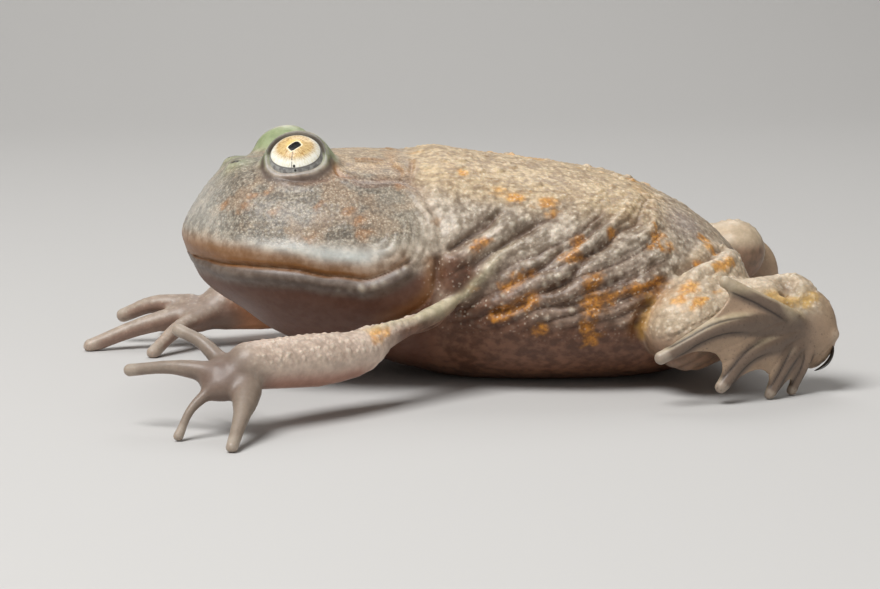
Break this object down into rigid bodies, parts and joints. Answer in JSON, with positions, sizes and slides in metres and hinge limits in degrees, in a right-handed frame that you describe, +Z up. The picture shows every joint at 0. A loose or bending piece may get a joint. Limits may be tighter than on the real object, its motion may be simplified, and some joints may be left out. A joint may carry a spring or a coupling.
{
  "type": "frog",
  "caption": "Life-size still model of a stout wide-mouthed water frog, creeping on its belly with spread fingers and webbed hind feet.",
  "frame": {"origin": "middle of the whole frog's box, on the floor that its belly lies on", "axes": "+X towards the rump, so the snout points to -X; +Y towards the frog's right side; +Z up"},
  "size_m": [0.1328, 0.1092, 0.0434],
  "materials": {
    "skin": "satin",
    "throat": "satin",
    "eye": "gloss",
    "spade": "satin"
  },
  "bodies": {
    "root": {"head": "skin", "torso": "skin", "upper_arm_left": "skin", "forearm_left": "skin", "hand_left": "skin", "finger_left_1": "skin", "finger_left_2": "skin", "finger_left_3": "skin", "finger_left_4": "skin", "thigh_left": "skin", "shank_left": "skin", "foot_left": "skin", "upper_arm_right": "skin", "forearm_right": "skin", "hand_right": "skin", "finger_right_1": "skin", "finger_right_2": "skin", "finger_right_3": "skin", "finger_right_4": "skin", "thigh_right": "skin", "shank_right": "skin", "foot_right": "skin", "jaw": "throat", "eye_left": "eye", "eye_right": "eye", "tubercle_left": "spade", "tubercle_right": "spade"}
  },
  "joints": []
}
